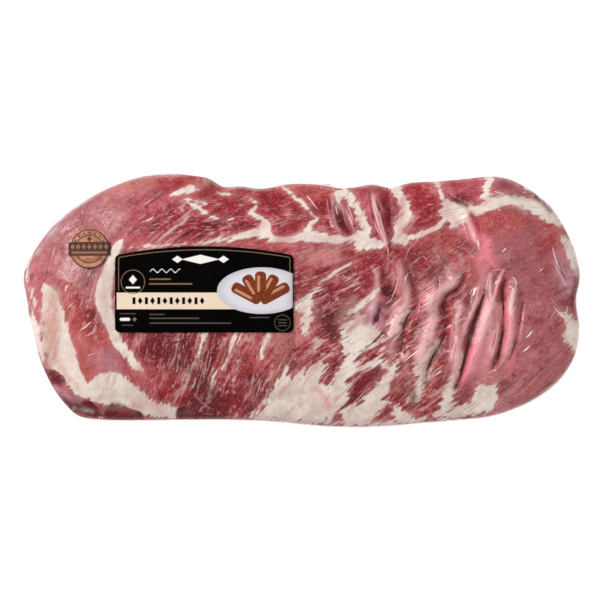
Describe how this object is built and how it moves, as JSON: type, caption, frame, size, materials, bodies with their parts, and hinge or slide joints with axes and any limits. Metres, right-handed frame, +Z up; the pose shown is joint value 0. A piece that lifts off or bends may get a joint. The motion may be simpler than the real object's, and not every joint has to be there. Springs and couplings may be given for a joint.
{
  "type": "rack of ribs",
  "caption": "Raw rack of pork spareribs sealed in clear shrink film, lying meat side up, with a dark arched label and a round copper seal.",
  "frame": {"origin": "on the ground under the middle of the pack's plan box", "axes": "+X along the rack's length towards the folded end, +Y across it towards the scalloped edge, +Z up out of the meat side"},
  "size_m": [0.4398, 0.2009, 0.0401],
  "materials": {
    "filmed_meat": "clear shrink film drawn tight over marbled raw pork, glossy where it lies flat and puckered in fine creases at the folds",
    "label_paper": "coated black paper with a thin gold line and a pale band, satin",
    "seal_paper": "copper-coloured print with dark rings and a dark plain banner, satin"
  },
  "bodies": {
    "root": {"sealed_rib_rack": "filmed_meat", "front_label": "label_paper", "round_seal": "seal_paper"}
  },
  "joints": []
}
